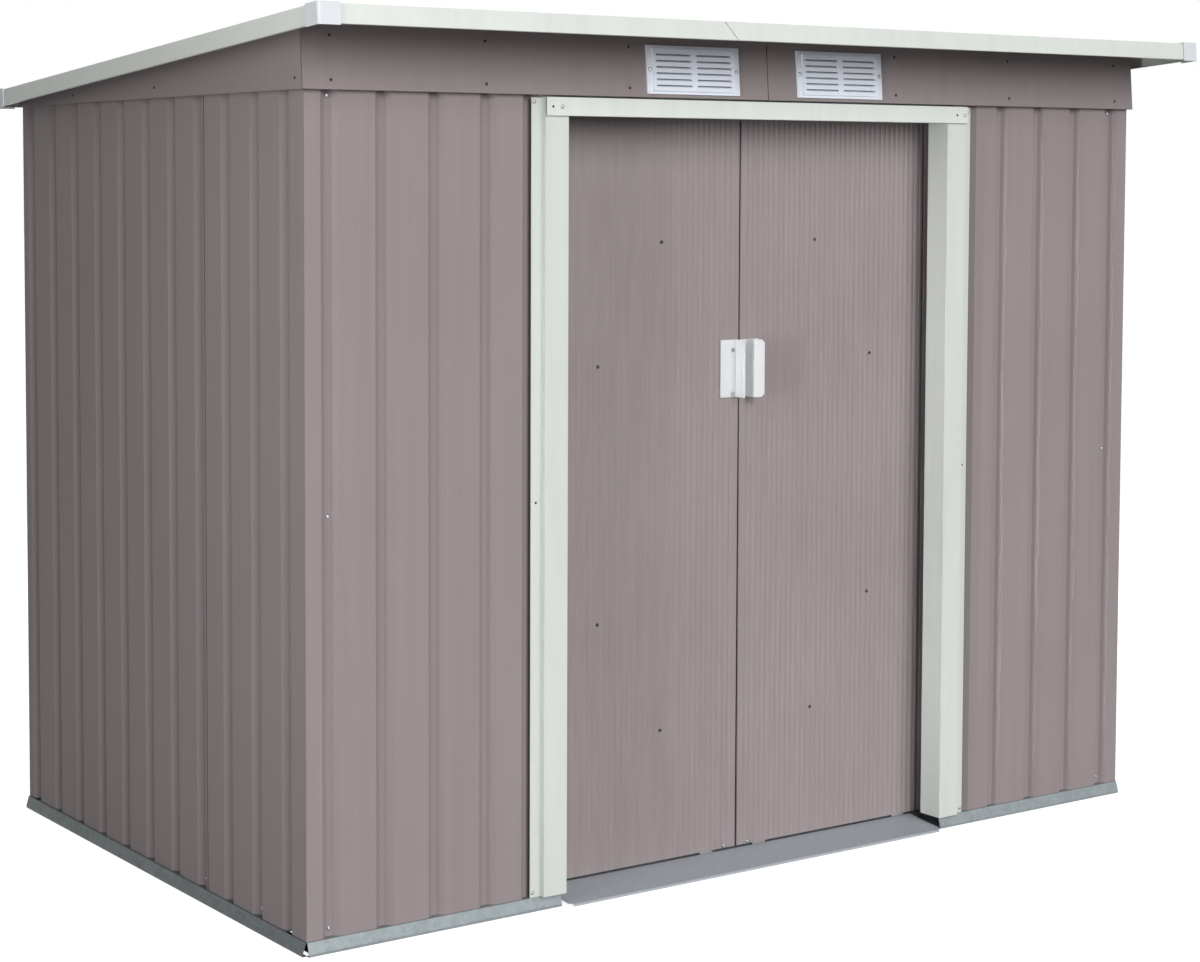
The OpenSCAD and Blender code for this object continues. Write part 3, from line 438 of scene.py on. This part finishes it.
# pale floor and soft studio light: a wide key from the front, a soft lamp by the left side, two behind,
# and a narrow strip that reaches into the doorway; metres, watts and degrees
studio = {"floorHalf": 60, "floorDrop": 0.001, "floorColour": "#8A8A8A", "floorGlow": 0.92, "fill": 0.16,
          "white": (1, 1, 1, 1), "sun": 2.78, "sunWide": 50, "sunTurn": -4, "sunRise": 25}
softLamps = {
    "left_soft": {"place": (-2.5, -1.15, 1.4), "aim": (-1.1, -1.15, 1.4), "size": (0.6, 3.0),
                  "power": 20, "spread": 180},
    "rear_soft": {"place": (2.8, 2.9, 2.2), "aim": (0.6, 0.4, 0.8), "size": (1.8, 1.8),
                  "power": 105, "spread": 180},
    "back_soft": {"place": (-0.2, 4.0, 2.4), "aim": (-0.2, 0.7, 0.9), "size": (2.2, 1.6),
                  "power": 70, "spread": 180},
    "jamb_strip": {"place": (-2.5, -1.15, 0.82), "aim": (0.52, -0.55, 0.82), "size": (0.08, 1.6),
                   "power": 0.85, "spread": 14},
}


def seenDirectly(tree):
    # 1 for a ray from the camera, by itself or by way of a reflection or a clear piece, and 0 for others
    path = addNode(tree, "ShaderNodeLightPath").outputs
    direct = addNode(tree, "ShaderNodeMath", operation="MAXIMUM",
                     links={0: path["Is Camera Ray"], 1: path["Is Glossy Ray"]})
    either = addNode(tree, "ShaderNodeMath", operation="MAXIMUM",
                     links={0: direct.outputs[0], 1: path["Is Transmission Ray"]})
    return either.outputs[0]


half, drop = studio["floorHalf"], -studio["floorDrop"]
corners = [(-half, -half, drop), (half, -half, drop), (half, half, drop), (-half, half, drop)]
floorMesh = bpy.data.meshes.new("floor")
floorMesh.from_pydata(corners, [], [(0, 1, 2, 3)])
floor = placeObject("floor", floorMesh)
floorPaint = bpy.data.materials.new("studio_floor_pale")
tree = emptyTree(floorPaint)
glow = addNode(tree, "ShaderNodeMath", operation="MULTIPLY", inputs={1: studio["floorGlow"]},
               links={0: seenDirectly(tree)})
matt = addNode(tree, "ShaderNodeBsdfDiffuse", inputs={"Color": linear(studio["floorColour"])})
lit = addNode(tree, "ShaderNodeEmission", inputs={"Color": studio["white"]}, links={"Strength": glow.outputs[0]})
both = addNode(tree, "ShaderNodeAddShader", links={0: matt.outputs[0], 1: lit.outputs[0]})
addNode(tree, "ShaderNodeOutputMaterial", links={"Surface": both.outputs[0]})
floorMesh.materials.append(floorPaint)

world = bpy.data.worlds.new("studio")
bpy.context.scene.world = world
tree = emptyTree(world)
power = addNode(tree, "ShaderNodeMapRange", inputs={"To Min": studio["fill"], "To Max": 1.0},
                links={"Value": seenDirectly(tree)})
sky = addNode(tree, "ShaderNodeBackground", inputs={"Color": studio["white"]},
              links={"Strength": power.outputs["Result"]})
addNode(tree, "ShaderNodeOutputWorld", links={"Surface": sky.outputs[0]})

lamp = bpy.data.lights.new("key", "SUN")
lamp.energy = studio["sun"]
lamp.angle = math.radians(studio["sunWide"])
key = placeObject("key", lamp)
turn, climb = math.radians(studio["sunTurn"]), math.radians(studio["sunRise"])
toSun = Vector((-math.sin(turn) * math.cos(climb), -math.cos(turn) * math.cos(climb), math.sin(climb)))
key.rotation_euler = toSun.to_track_quat("Z", "Y").to_euler()
for name, look in softLamps.items():
    lamp = bpy.data.lights.new(name, "AREA")
    lamp.shape, lamp.energy = "RECTANGLE", look["power"]
    lamp.size, lamp.size_y = look["size"]
    lamp.spread = math.radians(look["spread"])
    soft = placeObject(name, lamp)
    soft.location = look["place"]
    soft.rotation_euler = (Vector(look["place"]) - Vector(look["aim"])).to_track_quat("Z", "Y").to_euler()
    soft.visible_camera = False

# camera from the photograph's vanishing lines: angles in degrees, place, lens and sensor in mm
view = {"place": (-3280.8, -4429.8, 1445.6), "yaw": 33.701, "pitch": -3.426, "roll": 0.05, "lens": 72.2,
        "sensor": 36, "shift": (0.10, -0.13)}
yaw, tilt, roll = (math.radians(view[angle]) for angle in ("yaw", "pitch", "roll"))
ahead = Vector((math.sin(yaw) * math.cos(tilt), math.cos(yaw) * math.cos(tilt), math.sin(tilt)))
right = ahead.cross(Vector((0, 0, 1))).normalized()
up = right.cross(ahead)
right, up = right * math.cos(roll) + up * math.sin(roll), up * math.cos(roll) - right * math.sin(roll)
lens = bpy.data.cameras.new("photo_view")
lens.sensor_fit, lens.sensor_width, lens.lens = "HORIZONTAL", view["sensor"], view["lens"]
lens.shift_x, lens.shift_y = view["shift"]
camera = placeObject("photo_view", lens)
axesOfView = Matrix((right, up, -ahead)).transposed().to_4x4()
camera.matrix_world = Matrix.Translation(Vector(view["place"]) * mm) @ axesOfView
bpy.context.scene.camera = camera
bpy.context.scene.view_settings.view_transform = "Standard"
print("studio and camera set")

bpy.context.view_layer.update()
